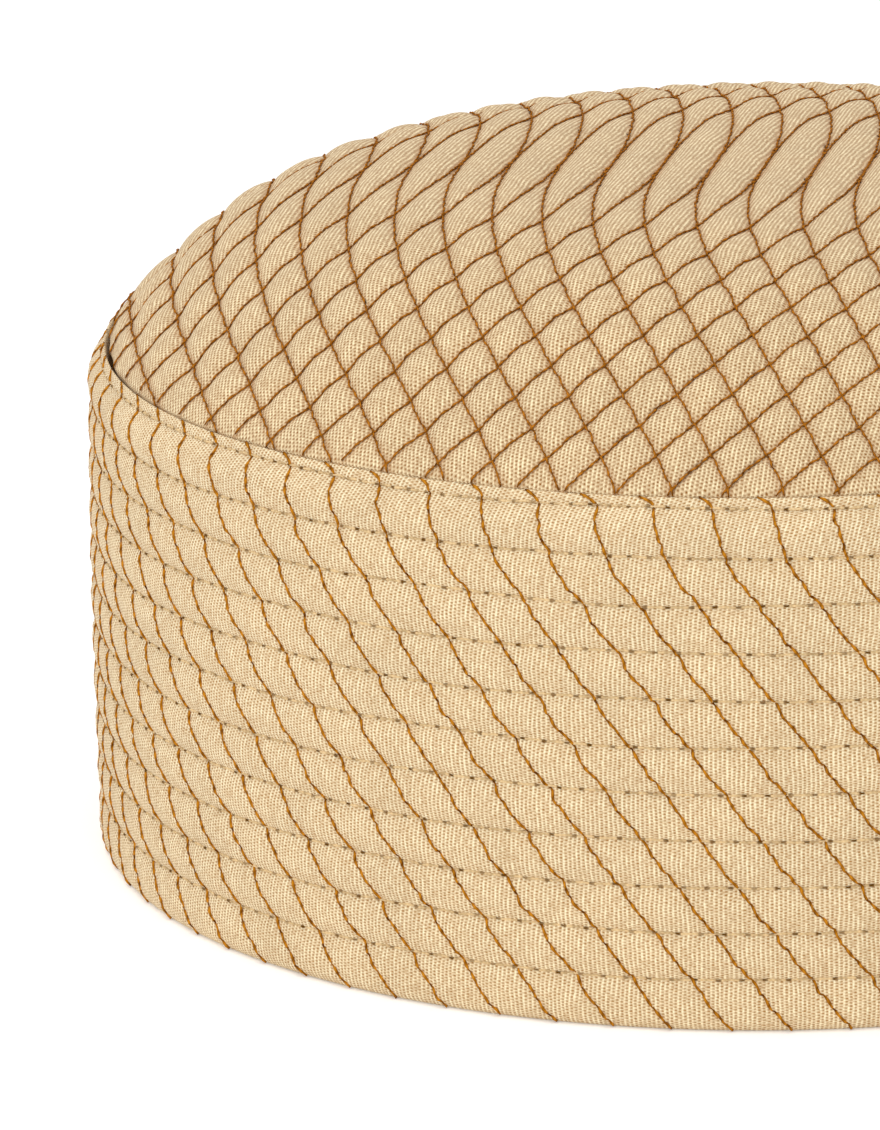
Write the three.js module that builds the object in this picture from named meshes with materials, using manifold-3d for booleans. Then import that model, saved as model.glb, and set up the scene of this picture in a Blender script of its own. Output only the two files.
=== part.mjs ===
// A quilted round cap in padded beige cotton. A standing band with corded rows carries a low,
// flat-topped crown that is quilted in long strips and diamonds.
// Millimetres, +Z up. The origin is on the ground, at the middle of the rim. The front is -Y.

import * as THREE from 'three';
import { mergeVertices } from 'three/addons/utils/BufferGeometryUtils.js';
import Module from 'manifold-3d';

// Driving sizes of the whole cap
const RIM_RADIUS = 92; // outside of the band at its foot, over the ribs
const TOP_INSET = 0.6; // how much narrower the band is at its top
const BAND_HEIGHT = 69.1;
const CROWN_RISE = 24.1; // from the seam to the middle of the crown
const WALL = 3; // padded cloth, two layers and the filling
const SEAM_GAP = 0.3; // between the crown's edge and the inside of the band
const SIDES = 72; // sides of every round form

// The band's rows of stitches
const ROWS = 11;
const FIRST_ROW = 1.3; // below the band's top edge
const ROW_PITCH = 6.09;
const RIB_DEPTH = 0.8; // from the top of a rib down to its stitches
const RIB_SHOULDER = 0.25; // part of a rib's width on each side that rounds down to the stitches
const RIB_FULLNESS = 0.5; // below 1 is a round rib, 1 a pointed one

// The band's folded edges
const FOLD = 0.7; // how far the top edge rounds over
const HEM_FOLD = 1.3; // how far the foot's outer edge rounds under
const HEM_LIFT = 2.2; // height of that rounding

// The crown's section is a superellipse: flat on top, with a steep shoulder down to the seam
const SHOULDER_POWER = 5; // across: a higher power is flatter on top
const SLOPE_POWER = 1.07; // upwards: 1 leaves a straight slope at the seam
const SECTION_STEPS = 400;

// The crown's quilting. Two families of stitch lines, A and B, lie along the same strips in the
// middle and part towards the seam, so that they cross in diamonds.
const STRIP_PITCH = 6.9; // between two strips, in the middle
const STRIP_LEAN = THREE.MathUtils.degToRad(9); // the strips' turn, clockwise from above
const STRIP_PHASE = 0.26; // of a pitch, from the middle to the nearest line
const EDGE_SPREAD = 0.116; // the strips widen by this part at the seam
const STRIP_BOW = -0.94; // of a pitch, sideways, at the seam
const DIAMOND_ROWS = 5.7; // rows of diamonds between the strips' middle and the front seam
const ROW_CROWDING = 2.36; // power by which the rows close up towards the seam
const FLANK_ROWS = 3.9; // more rows towards the two flanks, where no long strips are left
const MIDDLE_SHIFT = -4; // the strips' middle lies this far in front of the crown's
const QUILT_DEPTH = 1.1; // from the top of a puff down to the stitches
const SEAM_DRAW = 5; // the puffs flatten over this length to the seam

// Net of the quilting: columns every half strip, rows every half diamond, and finer rows where
// the strips are long
const MOST_COLUMNS = 15;
const MOST_ROWS = 7;
const STRIP_STEPS = 4;

const wasm = await Module();
wasm.setup();

// Solid that manifold-3d can join and cut, from a closed three.js geometry
function toSolid(geometry) {
  const bare = geometry.clone();
  bare.deleteAttribute('normal');
  bare.deleteAttribute('uv');
  const merged = mergeVertices(bare, 1e-4);
  return new wasm.Manifold(new wasm.Mesh({
    numProp: 3,
    vertProperties: new Float32Array(merged.attributes.position.array),
    triVerts: new Uint32Array(merged.index.array),
  }));
}

// three.js geometry from a solid
function toGeometry(solid) {
  const { vertProperties, triVerts } = solid.getMesh();
  const geometry = new THREE.BufferGeometry();
  geometry.setAttribute('position', new THREE.Float32BufferAttribute(vertProperties, 3));
  geometry.setIndex([...triVerts]);
  geometry.computeVertexNormals();
  return geometry;
}

// Round solid about Z from a closed outline of [radius, height] points, listed from the lower
// end of the outside upwards
function turned(outline) {
  const points = outline.map(([radius, height]) => new THREE.Vector2(radius, height));
  return new THREE.LatheGeometry(points, SIDES).rotateX(Math.PI / 2);
}

// Outer radius of the band at a height, over the ribs
function bandRadius(height) {
  return RIM_RADIUS - (TOP_INSET * height) / BAND_HEIGHT;
}

// Depth of the band's face under the top of its ribs, at a place across one rib from 0 to 1
function ribHollow(across) {
  return RIB_DEPTH * (1 - Math.sin(Math.PI * across) ** RIB_FULLNESS);
}

// Band: the ribs on the outside, a folded edge above and below, and a smooth inside
function makeBand() {
  const lastRow = BAND_HEIGHT - FIRST_ROW - (ROWS - 1) * ROW_PITCH;
  const face = (height, hollow) => [bandRadius(height) - hollow, height];

  const outline = [
    face(0, HEM_FOLD),
    face(HEM_LIFT * 0.4, HEM_FOLD * 0.35),
    face(HEM_LIFT, 0.1),
    face(lastRow - ROW_PITCH * RIB_SHOULDER, ribHollow(RIB_SHOULDER)),
  ];
  for (let row = 0; row < ROWS - 1; row += 1) {
    for (const across of [0, RIB_SHOULDER, 1 - RIB_SHOULDER]) {
      outline.push(face(lastRow + (row + across) * ROW_PITCH, ribHollow(across)));
    }
  }
  outline.push(
    face(BAND_HEIGHT - FIRST_ROW, RIB_DEPTH),
    face(BAND_HEIGHT - FOLD * 0.7, FOLD * 0.4),
    face(BAND_HEIGHT, FOLD),
    face(BAND_HEIGHT, WALL - FOLD),
    face(BAND_HEIGHT - FOLD, WALL),
    face(FOLD, WALL),
    face(0, WALL - FOLD),
    face(0, HEM_FOLD),
  );
  return turned(outline);
}

const SEAM_RADIUS = bandRadius(BAND_HEIGHT) - WALL - SEAM_GAP;

// Crown's section as rows of arc length from the middle, radius and height
function makeSection() {
  const rows = [{ arc: 0, radius: 0, height: BAND_HEIGHT + CROWN_RISE }];
  for (let step = 1; step <= SECTION_STEPS; step += 1) {
    const turn = (Math.PI / 2) * (step / SECTION_STEPS);
    const radius = SEAM_RADIUS * Math.sin(turn) ** (2 / SHOULDER_POWER);
    const height = BAND_HEIGHT + CROWN_RISE * Math.max(0, Math.cos(turn)) ** (2 / SLOPE_POWER);
    const last = rows.at(-1);
    const arc = last.arc + Math.hypot(radius - last.radius, height - last.height);
    rows.push({ arc, radius, height });
  }
  return rows;
}

const SECTION = makeSection();
const CLOTH_RADIUS = SECTION.at(-1).arc; // the crown's cloth, laid out flat

// Radius and height on the crown, an arc length from its middle and a lift off its surface.
// Past the seam the section runs straight on.
function onSection(arc, lift) {
  let upper = SECTION.findIndex((row) => row.arc > arc);
  if (upper < 0) upper = SECTION.length - 1;
  upper = Math.max(1, upper);
  const from = SECTION[upper - 1];
  const to = SECTION[upper];
  const length = to.arc - from.arc;
  const outward = (to.radius - from.radius) / length;
  const upward = (to.height - from.height) / length;
  return {
    radius: from.radius + outward * (arc - from.arc) - upward * lift,
    height: from.height + upward * (arc - from.arc) + outward * lift,
  };
}

// The strips' middle, in parts of the cloth's radius
const MIDDLE = MIDDLE_SHIFT / CLOTH_RADIUS;

// Place in the quilting of a point of the flat cloth, given in parts of the cloth's radius: strip
// counts the strips across, and diamond counts the rows of diamonds from the strips' middle
function quiltStrip(across, along) {
  const edge = (across * across + along * along) ** 2;
  const pitch = STRIP_PITCH * (1 + EDGE_SPREAD * edge);
  return (across * CLOTH_RADIUS) / pitch + STRIP_BOW * (along - MIDDLE) ** 3;
}

function quiltDiamond(across, fromMiddle) {
  return DIAMOND_ROWS * fromMiddle ** ROW_CROWDING + FLANK_ROWS * across ** 2 * fromMiddle;
}

// Value between two limits at which a rising function reaches a target, by halving
function solveRising(rising, target, lowest, highest) {
  let low = lowest;
  let high = highest;
  for (let step = 0; step < 40; step += 1) {
    const middle = (low + high) / 2;
    if (rising(middle) < target) low = middle;
    else high = middle;
  }
  return (low + high) / 2;
}

// Point of the flat cloth, in millimetres, at a place in the quilting
function clothPoint(strip, diamond) {
  let across = (strip * STRIP_PITCH) / CLOTH_RADIUS;
  let along = 0;
  for (let round = 0; round < 30; round += 1) {
    const reach = solveRising((y) => quiltDiamond(across, y), Math.abs(diamond), 0, 1.5);
    along = MIDDLE + Math.sign(diamond) * reach;
    across = solveRising((x) => quiltStrip(x, along), strip, -1.25, 1.25);
  }
  const cos = Math.cos(STRIP_LEAN);
  const sin = Math.sin(STRIP_LEAN);
  return new THREE.Vector2(cos * across + sin * along, cos * along - sin * across)
    .multiplyScalar(CLOTH_RADIUS);
}

// Height of the quilting from 0 on the stitches to 1 on top of a puff
function puff(strip, diamond) {
  const lineA = Math.sin(Math.PI * (strip + diamond));
  const lineB = Math.sin(Math.PI * (strip - diamond));
  return Math.sqrt(Math.abs(lineA * lineB));
}

// Lift of the crown's face off its section. Near the seam it settles at half the puffs' height.
function quiltLift(strip, diamond, arc) {
  const drawn = THREE.MathUtils.smoothstep(arc, CLOTH_RADIUS - SEAM_DRAW, CLOTH_RADIUS);
  return QUILT_DEPTH * (THREE.MathUtils.lerp(puff(strip, diamond), 0.5, drawn) - 1);
}

// Rows of the net, as places along the strips
function netRows() {
  const rows = [0];
  for (let step = 1; step <= STRIP_STEPS; step += 1) {
    rows.push(0.5 * (step / STRIP_STEPS) ** ROW_CROWDING);
  }
  for (let row = 1; row <= MOST_ROWS; row += 0.5) rows.push(row);
  return [...rows.slice(1).reverse().map((row) => -row), ...rows];
}

// Quilted face of the crown bent over its section, with walls down to a flat foot. It reaches
// past the seam all round, and is cut to size afterwards.
function makeQuiltedBlock(foot) {
  const rows = netRows();
  const columns = MOST_COLUMNS * 4 + 1;
  const net = rows.map((row) => Array.from({ length: columns }, (_, column) => {
    const strip = (column / 2) - MOST_COLUMNS;
    const flat = clothPoint(strip + STRIP_PHASE, row);
    const arc = flat.length();
    const { radius, height } = onSection(arc, quiltLift(strip, row, arc));
    const turn = Math.atan2(flat.y, flat.x);
    return { arc, x: radius * Math.cos(turn), y: radius * Math.sin(turn), height };
  }));

  const positions = [];
  const numbers = new Map();
  const number = (row, column) => {
    const name = row * columns + column;
    if (!numbers.has(name)) {
      const { x, y, height } = net[row][column];
      numbers.set(name, positions.length / 6);
      positions.push(x, y, height, x, y, foot);
    }
    return numbers.get(name);
  };

  // Each quad of the net that reaches inside the seam, split along its stitches
  const faces = [];
  for (let row = 0; row < rows.length - 1; row += 1) {
    for (let column = 0; column < columns - 1; column += 1) {
      const corners = [[row, column], [row, column + 1], [row + 1, column + 1], [row + 1, column]];
      if (corners.every(([r, c]) => net[r][c].arc > CLOTH_RADIUS + 1)) continue;
      const [a, b, c, d] = corners.map(([r, k]) => number(r, k));
      const puffs = corners.map(([r, k]) => puff((k / 2) - MOST_COLUMNS, rows[r]));
      if (puffs[0] + puffs[2] < puffs[1] + puffs[3]) faces.push([a, b, c], [a, c, d]);
      else faces.push([a, b, d], [b, c, d]);
    }
  }

  // Top, foot, and a wall under each edge that only one face has
  const index = [];
  const edges = new Map();
  for (const face of faces) {
    const [a, b, c] = face;
    index.push(2 * a, 2 * b, 2 * c, 2 * a + 1, 2 * c + 1, 2 * b + 1);
    for (const [from, to] of [[a, b], [b, c], [c, a]]) {
      if (!edges.delete(`${to},${from}`)) edges.set(`${from},${to}`, [from, to]);
    }
  }
  for (const [from, to] of edges.values()) {
    index.push(2 * from, 2 * from + 1, 2 * to, 2 * to, 2 * from + 1, 2 * to + 1);
  }

  const block = new THREE.BufferGeometry();
  block.setAttribute('position', new THREE.Float32BufferAttribute(positions, 3));
  block.setIndex(index);
  return block;
}

// Crown: the quilted block inside the seam, with the hollow under its wall taken out
function makeCrown() {
  const foot = BAND_HEIGHT - 4 * WALL;
  const reach = CLOTH_RADIUS + 4 * WALL;
  const hollowSteps = 14;

  const hollow = [[0, foot - 1], [onSection(reach, -WALL).radius, foot - 1]];
  for (let step = 0; step < hollowSteps; step += 1) {
    const { radius, height } = onSection(reach * Math.sqrt(1 - step / hollowSteps), -WALL);
    hollow.push([radius, height]);
  }
  hollow.push([0, BAND_HEIGHT + CROWN_RISE - WALL]);

  const height = 2 * (BAND_HEIGHT + CROWN_RISE);
  const seam = new THREE.CylinderGeometry(SEAM_RADIUS, SEAM_RADIUS, height, SIDES)
    .rotateX(Math.PI / 2);
  const block = toSolid(makeQuiltedBlock(foot));
  return toGeometry(block.intersect(toSolid(seam)).subtract(toSolid(turned(hollow))));
}

const bandCloth = new THREE.MeshStandardMaterial({ color: '#e3c79b', roughness: 0.9, metalness: 0 });
const crownCloth = new THREE.MeshStandardMaterial({ color: '#d9be94', roughness: 0.9, metalness: 0 });

function piece(name, geometry, material) {
  const mesh = new THREE.Mesh(geometry, material);
  mesh.name = name;
  return mesh;
}

const cap = new THREE.Group();
cap.add(piece('band', makeBand(), bandCloth));
cap.add(piece('crown', makeCrown(), crownCloth));

export default cap;
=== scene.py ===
import math

import bpy
import numpy as np
from mathutils import Matrix, Vector


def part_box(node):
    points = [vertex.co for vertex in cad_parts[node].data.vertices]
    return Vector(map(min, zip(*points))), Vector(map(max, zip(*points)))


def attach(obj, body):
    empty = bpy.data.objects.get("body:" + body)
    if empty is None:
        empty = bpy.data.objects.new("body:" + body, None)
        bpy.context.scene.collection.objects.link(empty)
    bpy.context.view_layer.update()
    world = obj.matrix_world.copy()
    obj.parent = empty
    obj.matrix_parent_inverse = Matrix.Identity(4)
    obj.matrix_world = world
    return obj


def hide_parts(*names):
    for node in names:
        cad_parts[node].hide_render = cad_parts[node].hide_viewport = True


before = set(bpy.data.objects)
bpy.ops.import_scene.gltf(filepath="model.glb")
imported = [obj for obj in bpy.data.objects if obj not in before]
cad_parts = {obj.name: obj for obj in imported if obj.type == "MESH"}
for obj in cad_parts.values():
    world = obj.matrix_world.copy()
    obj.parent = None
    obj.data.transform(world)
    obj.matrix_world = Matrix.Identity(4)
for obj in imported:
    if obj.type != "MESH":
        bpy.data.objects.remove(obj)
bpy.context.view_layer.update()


# The view: a long lens in front of the cap, a little above it. The cap stands right of the middle
# of the picture, whose right edge cuts it.

MM = 0.001  # every size below is in millimetres, and Blender works in metres
VIEW_DISTANCE = 927.2
VIEW_HEIGHT = 47.05  # of the point that it turns about
VIEW_DOWN = 15.297  # degrees below level
VIEW_LEFT = 2.716  # degrees that the lens turns away to the left
VIEW_DROP = -0.694  # degrees that it turns down from there
VIEW_ROLL = -0.535  # degrees that the picture leans
LENS = 215.72
FILM = 36.0
NEAREST = 0.05  # metres, between which and the next the lens sees
FARTHEST = 20.0

lens = bpy.data.cameras.new("camera")
lens.lens = LENS
lens.sensor_width = FILM
lens.sensor_fit = "AUTO"
lens.clip_start = NEAREST
lens.clip_end = FARTHEST
camera = bpy.data.objects.new("camera", lens)
down = math.radians(VIEW_DOWN)
stand = Vector((0, -VIEW_DISTANCE * math.cos(down), VIEW_HEIGHT + VIEW_DISTANCE * math.sin(down))) * MM
aim = (
    Matrix.Rotation(math.pi / 2 - down, 4, "X")
    @ Matrix.Rotation(math.radians(VIEW_LEFT), 4, "Y")
    @ Matrix.Rotation(math.radians(VIEW_DROP), 4, "X")
    @ Matrix.Rotation(math.radians(VIEW_ROLL), 4, "Z")
)
camera.matrix_world = Matrix.Translation(stand) @ aim
bpy.context.scene.collection.objects.link(camera)
bpy.context.scene.camera = camera
bpy.context.scene.view_settings.view_transform = "Standard"


# The band: a standing ring of padded cotton, two cloths with a soft filling. Level rows of
# stitches draw it in between corded ribs. Its top edge is a rolled fold and its foot a turned hem.

TURN = 2 * np.pi
BAND_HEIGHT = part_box("band")[1].z / MM
RIM_RADIUS = 92.0  # over the ribs at the foot
TOP_INSET = 0.6  # the band is this much narrower at its top
WALL = 3.0
BAND_SWELL = 0.45  # its side bulges out by this much halfway up
BAND_WAVER = 0.1  # and strays by this much from round
TOP_TUCK = 1.6  # its top edge leans in by this much, over the last few millimetres
TUCK_LENGTH = 4.0
FOLD_ROUND = 0.5  # and then rounds over by this much into the seam

ROWS = 11
FIRST_ROW = 1.3  # below the top edge
ROW_PITCH = 6.09
ROW_WAVER = 0.16  # how far a row wanders up and down
ROW_WAVER_LESS = 0.6  # part of that by which its second waver goes
ROW_MIX = 1.7  # radians by which the first waver's share changes from row to row
ROW_MIX_LESS = 2.3  # and the second one's
TOP_ROWS = 2  # rows with finer stitches
TOP_ROW_STITCHES = 228  # stitches round the cap in each of them
ROW_STITCHES = 194  # and in the others
ROW_SHIFT = 2.1  # radians of a stitch by which a row's stitches are shifted from those above
RIB_DEPTH = 0.85  # from the top of a rib down to its stitches
RIB_FULLNESS = 0.62  # power that fills out a rib, where 1 is a plain sine
CREASE_WIDTH = 0.15  # softness of the crease, where 0 is a sharp one
CREASE_LOSS = 0.6  # of its softness, which a crease would fall short of its full height
HEM_FULL = ROWS - 0.55  # rows down, where the hem under the last row is as thick as a rib
ROLL = 0.75  # height of the roll above the first row, in parts of a rib's
ROLL_DIP = 0.55  # by which the roll is lower at the row itself
ROLL_RISE = 14  # how steeply it rises from there, for each row pitch
PUCKER = 0.07  # depth of the pucker at each stitch
PUCKER_WIDTH = 0.7

SLANTS = 76  # slanting stitch lines round the cap
SLANT_START = -46.4  # degrees from the front of one line at the first row
SLANT_STEP = 2.84  # degrees to the right for each row down
SLANT_LAG = 1.95  # degrees by which the steeper start of a line falls short of that
SLANT_LAG_ROWS = 1.1  # rows over which that start reaches
SLANT_SWAY = 0.03  # of a row pitch, by which a line hangs back in the middle of a rib
SLANT_HOOK = 3.0  # millimetres that a line runs back along the fold at the seam
SLANT_SQUARE = 0.8  # of a distance round the band, which lies square to a slanting line
SLANT_DENT = 0.28  # depth of the dent that a line draws into the rib
SLANT_DENT_WIDTH = 0.9
CREASE_DENT = 0.35  # part of that dent which is left in the crease of a row

BAND_LEAN = 0.42  # slope by which the cloth's threads lean to the right at the top edge
LEAN_LENGTH = 8.5  # and the length down the band over which they straighten

COLUMNS = 900  # of the band's mesh
RIB_STEPS = 8  # rows of the mesh in one rib
HEM_HEIGHTS = [2.4, 3.6, 4.8, 5.7, 6.4]  # rows of the mesh under the last row of stitches
EDGE_DEPTHS = [FIRST_ROW, 1.05, 0.75, 0.5, 0.3, 0.14, 0.05]  # and over the first, below the top edge
INSIDE_ROWS = 5
INSIDE_TOP = 7  # the inside runs straight from this far below the top edge
INSIDE_FOOT = 6  # down to this height

# Folds as points of how far in from the outside and how far up, from the top edge or the ground.
# The top one is listed from the outside inwards, and the foot's from the inside outwards.
TOP_FOLD = [(2.26, 0.0), (2.44, -0.14), (2.56, -0.6), (2.7, -1.4), (2.9, -3.0)]
FOOT_FOLD = [(3.0, 1.4), (2.8, 0.5), (2.1, 0.05), (1.4, 0.0), (0.9, 0.25), (0.5, 0.75), (0.2, 1.4)]


def linear(colour):
    """Linear colour from an sRGB hex one: small values over 12.92, and the rest to the power 2.4."""
    parts = [int(colour[place : place + 2], 16) / 255 for place in (1, 3, 5)]
    return [p / 12.92 if p <= 0.04045 else ((p + 0.055) / 1.055) ** 2.4 for p in parts] + [1.0]


def add(tree, kind, inputs=None, out=0, **settings):
    """Adds a node, sets it up, and links or fills its inputs. Gives back one of its outputs."""
    made = tree.nodes.new("ShaderNode" + kind)
    for name, value in settings.items():
        setattr(made, name, value)
    for key, value in (inputs or {}).items():
        if isinstance(value, bpy.types.NodeSocket):
            tree.links.new(value, made.inputs[key])
        else:
            made.inputs[key].default_value = value
    return made.outputs[out] if made.outputs else made


def build(name, points, faces, uv, fields=None):
    """Closed mesh object from points in millimetres, faces as arrays of corner numbers, a flat
    place for each face corner, and named numbers for each point."""
    mesh = bpy.data.meshes.new(name)
    corners = np.concatenate([part.ravel() for part in faces])
    sides = np.concatenate([np.full(len(part), part.shape[1]) for part in faces])
    starts = np.concatenate([[0], np.cumsum(sides)[:-1]])
    mesh.vertices.add(len(points))
    mesh.vertices.foreach_set("co", (points * MM).astype(np.float32).ravel())
    mesh.loops.add(len(corners))
    mesh.loops.foreach_set("vertex_index", corners.astype(np.int32))
    mesh.polygons.add(len(sides))
    mesh.polygons.foreach_set("loop_start", starts.astype(np.int32))
    mesh.update(calc_edges=True)
    mesh.uv_layers.new(name="cloth")
    mesh.uv_layers["cloth"].data.foreach_set("uv", uv.astype(np.float32).ravel())
    for field, values in (fields or {}).items():
        mesh.attributes.new(field, "FLOAT", "POINT")
        mesh.attributes[field].data.foreach_set("value", values.astype(np.float32))
    mesh.shade_smooth()
    made = bpy.data.objects.new(name, mesh)
    bpy.context.scene.collection.objects.link(made)
    return made


def smooth(value, low, high):
    """0 below low, 1 above high, and 3t² - 2t³ between them."""
    part = np.clip((value - low) / (high - low), 0, 1)
    return part * part * (3 - 2 * part)


def waver(turn, seed, slowest=2, fastest=14, waves=6):
    """Slow waver round the cap, about -1 to 1: sines with whole numbers of waves in a turn."""
    draw = np.random.default_rng(seed)
    counts = draw.integers(slowest, fastest, waves)
    starts = draw.uniform(0, TURN, waves)
    return np.sin(np.multiply.outer(turn, counts) + starts).sum(-1) / np.sqrt(waves)


def crease(part, softness):
    """0 on the stitches and about 1 midway: the root of a sine's square plus the softness's square,
    less the softness, and stretched to make up for what that takes off its height."""
    return (np.sqrt(np.sin(np.pi * part) ** 2 + softness**2) - softness) / (1 - softness * CREASE_LOSS)


def row_waver(turn, row):
    """Height by which the thread of a row strays: one waver round the cap times a cosine of the
    row's number, plus a smaller one times a sine of it. No two rows run quite level or alike."""
    one = ROW_WAVER * waver(turn, seed=40) * np.cos(row * ROW_MIX)
    other = ROW_WAVER * ROW_WAVER_LESS * waver(turn, seed=41) * np.sin(row * ROW_MIX_LESS)
    return one + other


def rows_down(turn, height):
    """Place down the band, counted in rows from the first one: 0 on it, 1 on the next."""
    plain = (BAND_HEIGHT - FIRST_ROW - height) / ROW_PITCH
    return plain + row_waver(turn, plain) / ROW_PITCH


def slant_turn(line, down_rows):
    """Turn from the front at which a slanting line stands, some rows down: a steady step for each
    row, less a lag that grows over the first rows, less a sway that is 0 on each row, less a hook
    that follows a quarter of a circle over the fold."""
    across = down_rows - np.floor(down_rows)
    lag = SLANT_LAG * np.clip(down_rows / SLANT_LAG_ROWS, 0, 1)
    sway = np.degrees(4 * SLANT_SWAY * ROW_PITCH / RIM_RADIUS) * across * (1 - across) * (down_rows > 0)
    over = np.clip(-down_rows * ROW_PITCH / FIRST_ROW, 0, 1)
    hook = np.degrees(SLANT_HOOK / RIM_RADIUS) * (1 - np.sqrt(1 - over**2))
    steady = SLANT_STEP * np.clip(down_rows, 0, None)
    return np.radians(SLANT_START + 360 / SLANTS * line + steady - lag - sway - hook)


def band_hollow(turn, height):
    """Depth of the band's face under the top of its ribs. The ribs are the creases of the rows to
    a power, with a smooth step up to the hem under the last row, and a falling power of e up to the
    roll over the first. Puckers are a cosine round the band, one wave for each stitch. They fade
    as a bell curve to both sides of a row, and so do the dents beside the slanting lines."""
    down_rows = rows_down(turn, height)
    row = np.floor(down_rows + 0.5)
    stitch = np.cos(turn * np.where(row < TOP_ROWS, TOP_ROW_STITCHES, ROW_STITCHES) + row * ROW_SHIFT)
    rib = crease(down_rows, CREASE_WIDTH) ** RIB_FULLNESS
    hem = smooth(down_rows, ROWS - 1, HEM_FULL)
    rib = np.where(down_rows > ROWS - 1, np.maximum(rib, hem), rib)
    rib = np.where(down_rows < 0, ROLL - ROLL_DIP * np.exp(down_rows * ROLL_RISE), rib)
    near_row = np.exp(-(((down_rows - np.round(down_rows)) * ROW_PITCH / PUCKER_WIDTH) ** 2))
    line = (turn - slant_turn(0, down_rows)) * SLANTS / TURN
    away = (line - np.round(line)) * TURN * RIM_RADIUS / SLANTS * SLANT_SQUARE
    dent = SLANT_DENT * np.exp(-((away / SLANT_DENT_WIDTH) ** 2)) * (CREASE_DENT + (1 - CREASE_DENT) * rib)
    return RIB_DEPTH * (1 - rib) + dent + PUCKER * stitch * near_row


def band_shape(turn, height):
    """Radius of the band under its quilting: a slight cone with a waver round it, and a swell of
    half a sine up it."""
    swell = BAND_SWELL * np.sin(np.pi * np.clip(height / BAND_HEIGHT, 0, 1))
    round_it = RIM_RADIUS - BAND_WAVER + BAND_WAVER * waver(turn, seed=7, slowest=2, fastest=6)
    return round_it - TOP_INSET * height / BAND_HEIGHT + swell


def band_radius(turn, height):
    """Radius of the band's outside: its shape, less the tuck at its top, less a quarter of a circle
    over the last millimetre, less the hollows."""
    below = BAND_HEIGHT - height
    tuck = TOP_TUCK * (1 - smooth(below, 0, TUCK_LENGTH))
    over = 1 - np.clip(below, 0, 1)
    fold = FOLD_ROUND * (1 - np.sqrt(1 - over**2))
    return band_shape(turn, height) - tuck - fold - band_hollow(turn, height)


def on_band(turn, radius, height):
    """Point from a turn to the right from the front, a radius and a height."""
    return np.stack([radius * np.sin(turn), -radius * np.cos(turn), height + 0 * radius], -1)


def grid_faces(columns, rows):
    """Quads of a grid that closes on itself both ways: columns go round the cap, and rows up the
    outside, over the top and down the inside."""
    column, row = np.meshgrid(np.arange(columns), np.arange(rows), indexing="ij")
    right = (column + 1) % columns
    up = (row + 1) % rows
    quads = np.stack([column * rows + row, right * rows + row, right * rows + up, column * rows + up], -1)
    places = np.stack([[column, column + 1, column + 1, column], [row, row, row + 1, row + 1]], -1)
    return quads.reshape(-1, 4), places.transpose(1, 2, 0, 3).reshape(-1, 4, 2)


def make_band():
    """Band as a closed ring: radius and height for each column and row of its grid. The rows lie
    closer beside the stitches, as half a turn of a cosine spaces them."""
    last_row = BAND_HEIGHT - FIRST_ROW - (ROWS - 1) * ROW_PITCH
    spacing = 0.5 - 0.5 * np.cos(np.pi * np.arange(RIB_STEPS) / RIB_STEPS)
    ribs = last_row + ROW_PITCH * (np.arange(ROWS - 1)[:, None] + spacing).ravel()
    face = np.concatenate([HEM_HEIGHTS, ribs, BAND_HEIGHT - np.array(EDGE_DEPTHS)])
    foot = np.array(FOOT_FOLD)
    fold = np.array(TOP_FOLD)
    inside = np.linspace(BAND_HEIGHT - INSIDE_TOP, INSIDE_FOOT, INSIDE_ROWS)
    turn = (TURN / COLUMNS * np.arange(COLUMNS) - np.pi)[:, None]
    heights = np.concatenate([foot[:, 1], face, BAND_HEIGHT + fold[:, 1], inside])
    at_foot = band_shape(turn, foot[:, 1]) - foot[:, 0]
    at_top = band_shape(turn, BAND_HEIGHT) - fold[:, 0]
    at_inside = band_shape(turn, inside) - WALL
    radius = np.concatenate([at_foot, band_radius(turn, face), at_top, at_inside], 1)
    points = on_band(turn, radius, heights)
    path = radius.mean(0)
    step = np.hypot(np.diff(path, append=path[0]), np.diff(heights, append=heights[0]))
    along = np.concatenate([[0], np.cumsum(step)])
    lean = BAND_LEAN * LEAN_LENGTH * np.exp(-(BAND_HEIGHT - np.append(heights, heights[0])) / LEAN_LENGTH)
    quads, places = grid_faces(COLUMNS, len(heights))
    place = places[..., 1].astype(int)
    uv = np.stack([places[..., 0] * TURN * RIM_RADIUS / COLUMNS - lean[place], along[place]], -1)
    return build("band_cloth", points.reshape(-1, 3), [quads], uv)


band = make_band()

# Cotton in plain weave. Thick pale warp threads stand up the band. Between them the thin tan weft
# shows as small knots in a staggered pattern. It is matt, uneven like hand spun yarn, and fuzzy.

WARP_THREADS = 996  # round the band, which sets them about 0.58 apart
WARP_PITCH = TURN * RIM_RADIUS / WARP_THREADS
BAND_WEFT_PITCH = 0.4  # a little coarser than it is, so that it shows
BAND_WARP = "#FFF0CA"
BAND_WEFT = "#9E6A24"
BAND_KNOTS = 0.52  # how pale the weft's knots are, where 0 is the weft's own colour
THREAD_STRAY = 0.22  # how far the threads stray from their places from one millimetre to the next
THREAD_DRIFT = 0.9  # and from one centimetre to the next
BEADS = 0.2  # depth of the faint beads along a warp thread
WEAVE_DEPTH = 0.16  # from the top of a warp thread down to the gap


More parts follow.
